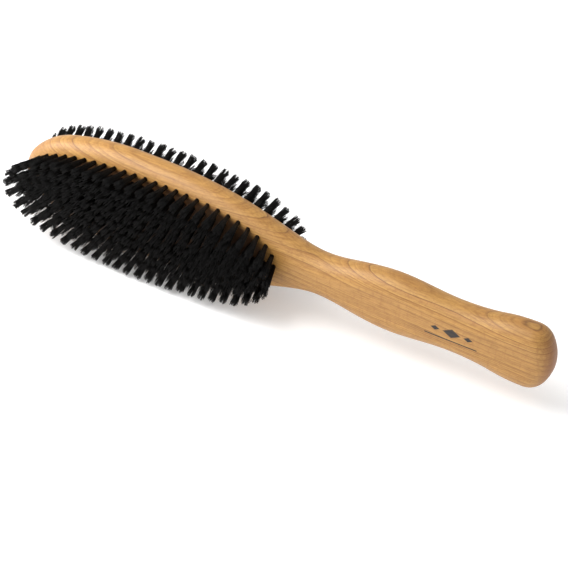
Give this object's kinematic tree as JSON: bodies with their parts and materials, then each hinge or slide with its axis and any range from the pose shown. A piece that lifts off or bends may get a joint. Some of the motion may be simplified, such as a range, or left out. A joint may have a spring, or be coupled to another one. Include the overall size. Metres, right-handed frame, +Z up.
{
  "type": "clothes brush",
  "caption": "Two-sided hand clothes brush: a waisted hardwood body with an oval field of bristle tufts on each broad face.",
  "frame": {"origin": "on the surface the brush stands on, under the middle of the whole brush with its bristles, midway between the two broad faces", "axes": "+X from the head to the end of the handle, -Y out of the front bristle face, +Y out of the back bristle face, +Z up across the width of the body"},
  "size_m": [0.2913, 0.0443, 0.057],
  "materials": {
    "wood": "cherry-type hardwood, clear satin lacquer",
    "bristle": "near-black natural bristle, soft sheen",
    "anchor_wire": "drawn flat wire"
  },
  "bodies": {
    "root": {"brush_body": "wood", "front_tufts_ring_1": "bristle", "front_tufts_ring_2": "bristle", "front_tufts_ring_3": "bristle", "front_tufts_ring_4": "bristle", "front_tufts_ring_5": "bristle", "back_tufts_ring_1": "bristle", "back_tufts_ring_2": "bristle", "back_tufts_ring_3": "bristle", "back_tufts_ring_4": "bristle", "back_tufts_ring_5": "bristle", "front_anchors_ring_1": "anchor_wire", "front_anchors_ring_2": "anchor_wire", "front_anchors_ring_3": "anchor_wire", "front_anchors_ring_4": "anchor_wire", "front_anchors_ring_5": "anchor_wire", "back_anchors_ring_1": "anchor_wire", "back_anchors_ring_2": "anchor_wire", "back_anchors_ring_3": "anchor_wire", "back_anchors_ring_4": "anchor_wire", "back_anchors_ring_5": "anchor_wire"}
  },
  "joints": []
}
